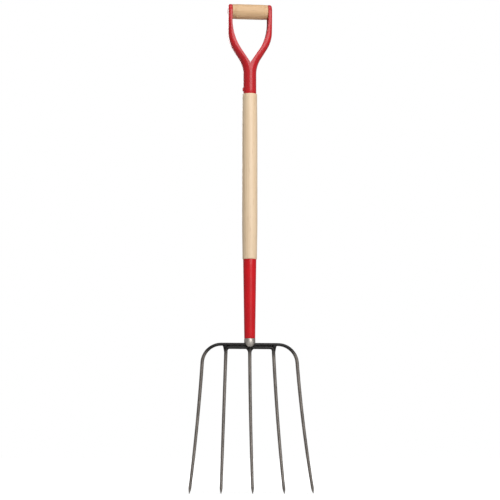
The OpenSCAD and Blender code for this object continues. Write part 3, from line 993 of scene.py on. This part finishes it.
# %% Lines of the tines
tip_z = inner_low.z
rod_h = 6.9 * MM
outer_rod_z = bar_top - rod_h / 2
inner_rod_z = outer_rod_z - rod_h - laid
bar_low_z = inner_rod_z - rod_h / 2
root_w, root_d = 3.9 * MM, 4.7 * MM  # half width and half depth at the root
end_w, end_d = 3.25 * MM, 3.9 * MM  # and where the point begins
point_length = 14 * MM
RING = 24
POINT_LEFT = 0.14  # share of the thickness left at the tip
POINT_CURVE = 1.6  # over 1, so a point thins late
DISH_START = math.tan(math.radians(2.5))  # forward slope just under the bar


def dish(z, depth):
    """How far forward a tine whose tip stands `depth` forward is at this height."""
    full = bar_low_z - tip_z
    share = max(0, bar_low_z - z) / full
    lean = DISH_START * full
    return -(lean * share + (depth - lean) * share * share)


def tine_leg(x0, z0, lean, tip_x, steps=30, point_steps=9):
    """Stations (x, z, half width, half depth) down a tine, and along its forged point."""
    drop = z0 - tip_z
    out = math.tan(math.radians(lean)) * drop
    body = (drop - point_length) / drop
    stations = []
    for k in range(1, steps + point_steps + 1):
        share = min(1, k / steps)
        point = max(0, (k - steps) / point_steps)
        u = body * share + (1 - body) * point
        left = 1 - (1 - POINT_LEFT) * point ** POINT_CURVE
        stations.append((x0 + out * u + (tip_x - x0 - out) * u * u, z0 - drop * u,
                         mix(root_w, end_w, share) * left, mix(root_d, end_d, share) * left))
    return stations


def bow(z, span, radius, lean, tips, swell):
    """Stations of half a bow: the eye, the bar, the bend and the tine."""
    eye_half = math.sqrt(eye_r ** 2 - (bar_depth / 2) ** 2)
    bend_x = span / 2 - radius
    turn = math.radians(90 - lean)
    stations = [(x, z, rod_h / 2, math.sqrt(eye_r ** 2 - x * x))
                for x in (eye_half * k / 5 for k in range(6))]
    stations += [(mix(eye_half, bend_x, k / 8), z, rod_h / 2, bar_depth / 2)
                 for k in range(1, 9)]
    for k in range(1, 17):
        share = k / 16
        angle = turn * share
        extra = swell / 2 * math.sin(math.pi * share) ** 2
        stations.append((bend_x + (radius + extra) * math.sin(angle),
                         z - radius + (radius + extra) * math.cos(angle),
                         mix(rod_h / 2, root_w, share) + extra, mix(bar_depth / 2, root_d, share)))
    return stations + tine_leg(bend_x + radius * math.sin(turn),
                               z - radius * (1 - math.cos(turn)), lean, tips / 2)


def oval_rings(stations, depth, points=RING):
    """Stand one oval ring at every station, square to the line."""
    places = [Vector((x, dish(z, depth), z)) for x, z, _, _ in stations]
    last = len(places) - 1
    rings = []
    for k, (x, z, half_width, half_depth) in enumerate(stations):
        along = (places[min(k + 1, last)] - places[max(k - 1, 0)]).normalized()
        if x == 0 and abs(along.x) > 0.5:
            along = Vector((1, 0, 0))
        side = Vector((along.z, 0, -along.x)).normalized()
        front = along.cross(side).normalized()
        turn = Matrix((side, front, along)).transposed().to_euler()
        ring = begin("ring", bpy.ops.mesh.primitive_circle_add, vertices=points, radius=1,
                     location=places[k], rotation=turn, stretch=(half_width, half_depth, 1))
        bpy.ops.object.mode_set(mode="OBJECT")
        rings.append(ring)
    return rings


# %% [markdown]
# ## The two bows
#
# Half a bow is skinned, its tip is closed, and a mirror makes the other half. The eye is
# bored last, so that its hole is round. Both bows come from one function, with their
# own span, bend and spread.


# %% The two bows
def tine_bow(name, z, span, radius, lean, tips, depth, swell):
    """Skin half a bow, close its tip, mirror it and bore its eye."""
    piece = skinned(name, oval_rings(bow(z, span, radius, lean, tips, swell), depth))
    pick(piece, lambda place: place.z < tip_z + 0.6 * MM)
    bpy.ops.mesh.edge_face_add()
    leave()
    applied(piece, "MIRROR", use_mirror_merge=True, merge_threshold=0.01 * MM)
    return cut(piece, bore_cutter(tang_r + fit, z - rod_h, z + rod_h))


inner_span, inner_dish = 106.4 * MM, 58 * MM
outer_bow = tine_bow("outer_bow", outer_rod_z, span=212 * MM, radius=42.8 * MM, lean=4,
                     tips=272.6 * MM, depth=34 * MM, swell=0)
finished(outer_bow, "fork", "outer_tine_bow", tine_finish)
inner_bow = tine_bow("inner_bow", inner_rod_z, span=inner_span, radius=8 * MM, lean=2.2,
                     tips=138.6 * MM, depth=inner_dish, swell=0.9 * MM)
finished(inner_bow, "fork", "inner_tine_bow", tine_finish)

# %% [markdown]
# ## Welds at the inner corners
#
# Where the lower bow turns down, weld metal fills the crevice between the two bars on
# the outer side of the corner. It is a short tongue that starts wide under the upper
# bar and runs out thin along the tine, so rings that go from wide to thin are stood
# down the corner and bridged. One is made and the other is its mirror copy.

# %% Corner welds
weld_top = outer_rod_z - rod_h / 2 + 0.6 * MM
weld_drop = 17 * MM
corner_x = inner_span / 2
weld_line = []  # x, z, half width, half depth, in order
for k in range(11):
    share = k / 10
    weld_line.append((corner_x + mix(1.6, 2.6, share) * MM, weld_top - weld_drop * share,
                      mix(6.4, 1.2, share ** 0.6) * MM, mix(3.2, 1.8, share) * MM))
weld = skinned("corner_weld_right", oval_rings(weld_line, inner_dish))
close(weld)
eased(weld, 0.4 * MM, turn=60, segments=2)


def flipped(piece, name, flip):
    """A copy with its own mesh, mirrored by this scale, with its normals outward."""
    copy = piece.copy()
    copy.data = piece.data.copy()
    copy.name = copy.data.name = name
    bpy.context.scene.collection.objects.link(copy)
    copy.scale = flip
    only(copy)
    settle()
    bpy.ops.object.mode_set(mode="EDIT")
    return close(copy)


for piece in (weld, flipped(weld, "corner_weld_left", (-1, 1, 1))):
    finished(piece, "fork", None, tine_finish)

# %% [markdown]
# ## Welds along the crossbar
#
# The two bars touch along one line only, and a bead of weld in the crevice at the front
# and at the back makes them one. A bead has a ripple for each drop of metal, so its
# thickness rises and falls every 2.4 mm. One bead is made, and its three copies are
# flipped to the other side and to the back.

# %% Bar welds
bead_start, bead_end, bead_y = 7 * MM, 48 * MM, 3.3 * MM
bead_half_h, bead_half_d = 0.95 * MM, 1.15 * MM
bead_z = outer_rod_z - (rod_h + laid) / 2
BEAD_STEPS = 68
RIPPLE, ripple_pitch = 0.10, 2.4 * MM
bead_line = []
for k in range(BEAD_STEPS + 1):
    x = mix(bead_start, bead_end, k / BEAD_STEPS)
    ripple = 1 + RIPPLE * math.sin(2 * math.pi * x / ripple_pitch)
    ends = min(1, 0.35 + k / 5, 0.35 + (BEAD_STEPS - k) / 5)
    bead_line.append((x, bead_z, bead_half_h * ripple * ends, bead_half_d * ripple * ends))
bead = skinned("bar_weld_front_right", oval_rings(bead_line, inner_dish, 10))
bpy.ops.mesh.select_all(action="SELECT")
bpy.ops.transform.translate(value=(0, -bead_y, 0))
close(bead)
beads = [bead, flipped(bead, "bar_weld_front_left", (-1, 1, 1)),
         flipped(bead, "bar_weld_back_right", (1, -1, 1)),
         flipped(bead, "bar_weld_back_left", (-1, -1, 1))]
for piece in beads:
    finished(piece, "fork", None, tine_finish)

# %% [markdown]
# ## The centre tine
#
# The centre tine has a wide shoulder that bears on the crossbar from below, and above
# it a round tang that runs up through both eyes, the cap and the ferrule into the wood.
# The tang's end is drawn to a blunt point, so its first rings widen quickly.

# %% Centre tine
seat_z = bar_low_z - laid
tang_rings = [(0, tang_top - lift * MM, r * MM, r * MM)
              for lift, r in ((0, 2.0), (0.5, 2.5), (2, 3.3), (4, 4.0))]
tang_rings += [(0, mix(tang_top - 4 * MM, seat_z, k / 10), tang_r, tang_r)
               for k in range(1, 11)]
shoulder_half, shoulder_h = 8 * MM, 8 * MM
under_seat = 0.02 * MM  # keeps the seat's two rings apart
shoulder_rings = []
for k in range(9):
    flare = (1 - k / 8) ** 2
    shoulder_rings.append((0, seat_z - under_seat - shoulder_h * k / 8,
                           mix(root_w, shoulder_half, flare), mix(root_d, bar_depth / 2, flare)))
centre_line = tang_rings + shoulder_rings + tine_leg(0, seat_z - shoulder_h, 0, 0)
centre = skinned("centre_tine_forging", oval_rings(centre_line, inner_dish))
close(centre)
cut(centre, rod_cutter(pin_r + fit, 5 * tang_r, pin_z))
eased(centre, 0.3 * MM, turn=60, segments=2)
finished(centre, "fork", "centre_tine", tine_finish)
